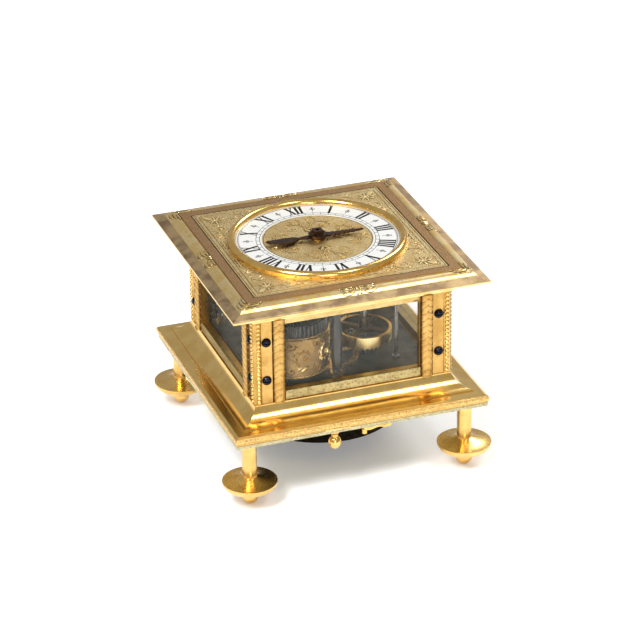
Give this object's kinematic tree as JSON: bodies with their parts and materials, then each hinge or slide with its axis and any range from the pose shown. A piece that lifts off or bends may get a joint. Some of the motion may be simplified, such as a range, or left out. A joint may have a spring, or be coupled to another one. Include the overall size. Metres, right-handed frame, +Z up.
{
  "type": "horizontal table clock",
  "caption": "Square gilt table clock with its dial facing up, glazed sides, four turned feet, a bell beneath and a case that tips back on a rear hinge.",
  "frame": {"origin": "middle of the footprint, on the surface that the feet stand on", "axes": "+Z up through the dial, +Y towards XII and the rear hinge, +X towards III"},
  "size_m": [0.1386, 0.1386, 0.1123],
  "materials": {
    "bell_metal": "dark bell metal",
    "blued_steel": "blued steel, polished",
    "dark_iron": "dark browned iron",
    "engraved_gilt": "gilt brass, chased and engraved, satin",
    "glass": "clear thin glass",
    "movement_brass": "gilt movement brass, satin",
    "pale_gilt": "pale gilt brass, brushed",
    "polished_gilt": "polished gilt brass",
    "silvered": "silvered brass, fine circular graining",
    "steel": "grey steel, turned"
  },
  "bodies": {
    "stand": {"underplate": "engraved_gilt", "foot_front_left": "polished_gilt", "foot_front_right": "polished_gilt", "foot_back_left": "polished_gilt", "foot_back_right": "polished_gilt", "lower_hinge_leaf": "movement_brass", "hinge_pin": "steel", "lever_screw": "blued_steel"},
    "case": {"upper_hinge_leaf": "movement_brass", "catch_keeper": "movement_brass", "base_moulding": "engraved_gilt", "body_frame": "engraved_gilt", "glass_front": "glass", "glass_right": "glass", "glass_back": "glass", "glass_left": "glass", "window_sills": "engraved_gilt", "pilaster_front_right": "engraved_gilt", "pilaster_back_right": "engraved_gilt", "pilaster_back_left": "engraved_gilt", "pilaster_front_left": "engraved_gilt", "pilaster_screws": "blued_steel", "lid_frame": "pale_gilt", "dial_plate": "engraved_gilt", "bezel": "polished_gilt", "chapter_ring": "silvered", "centre_disc": "engraved_gilt", "bottom_plate": "movement_brass", "top_plate": "movement_brass", "movement_pillar_1": "movement_brass", "movement_pillar_2": "movement_brass", "movement_pillar_3": "movement_brass", "movement_pillar_4": "movement_brass", "escape_front_cock": "movement_brass", "potence": "movement_brass", "balance_cock": "movement_brass", "hand_stud": "steel", "bell": "bell_metal", "bell_post": "steel", "bell_nut": "steel"},
    "catch": {"catch_knob": "polished_gilt"},
    "lever": {"scroll_lever": "polished_gilt"},
    "winder": {"barrel_arbor": "steel", "ratchet_wheel": "steel"},
    "barrel": {"barrel_drum": "engraved_gilt", "mainspring": "steel", "great_wheel": "steel", "dial_pinion": "steel"},
    "second": {"second_arbor": "steel", "second_wheel": "movement_brass"},
    "contrate": {"contrate_arbor": "steel", "contrate_wheel": "movement_brass"},
    "escape": {"escape_arbor": "steel", "crown_wheel": "movement_brass"},
    "balance": {"verge": "steel", "balance_wheel": "movement_brass"},
    "hand": {"hour_wheel": "movement_brass", "hour_hand": "dark_iron", "hand_collet": "dark_iron"},
    "hammer": {"hammer": "steel"}
  },
  "joints": [
    {"name": "case_lift", "type": "hinge", "parent": "stand", "child": "case", "pos_m": [0, 0.0636, 0.0354], "axis": [-1, 0, 0], "range_deg": [0, 75]},
    {"name": "catch_turn", "type": "hinge", "parent": "stand", "child": "catch", "pos_m": [-0.0135, -0.06, 0.03], "axis": [0, 0, 1], "range_deg": [0, 90]},
    {"name": "lever_turn", "type": "hinge", "parent": "stand", "child": "lever", "pos_m": [0.009, -0.057, 0.0336], "axis": [0, 0, 1], "range_deg": [0, 18]},
    {"name": "winding_turn", "type": "hinge", "parent": "case", "child": "winder", "pos_m": [-0.0225, -0.02681, 0.05], "axis": [0, 0, 1], "continuous": true},
    {"name": "barrel_turn", "type": "hinge", "parent": "case", "child": "barrel", "pos_m": [-0.0225, -0.02681, 0.066], "axis": [0, 0, 1], "continuous": true},
    {"name": "second_turn", "type": "hinge", "parent": "case", "child": "second", "pos_m": [-0.00397, -0.01692, 0.066], "axis": [0, 0, 1], "continuous": true},
    {"name": "contrate_turn", "type": "hinge", "parent": "case", "child": "contrate", "pos_m": [0.0166, -0.02, 0.063], "axis": [0, 0, 1], "continuous": true},
    {"name": "escape_turn", "type": "hinge", "parent": "case", "child": "escape", "pos_m": [0.0166, -0.007, 0.05702], "axis": [0, 1, 0], "continuous": true},
    {"name": "balance_swing", "type": "hinge", "parent": "case", "child": "balance", "pos_m": [0.0166, 0.0048, 0.091], "axis": [0, 0, 1], "range_deg": [-40, 40]},
    {"name": "hand_turn", "type": "hinge", "parent": "case", "child": "hand", "pos_m": [0, 0, 0.1], "axis": [0, 0, 1], "continuous": true},
    {"name": "hammer_swing", "type": "hinge", "parent": "case", "child": "hammer", "pos_m": [0.03, 0.018, 0.041], "axis": [0, 0, 1], "range_deg": [-25, 0]}
  ],
  "couplings": [
    {"joint": "barrel_turn", "follows": "contrate_turn", "ratio": 0.046296},
    {"joint": "second_turn", "follows": "contrate_turn", "ratio": -0.18519},
    {"joint": "escape_turn", "follows": "contrate_turn", "ratio": -5},
    {"joint": "hand_turn", "follows": "contrate_turn", "ratio": -0.011574}
  ]
}
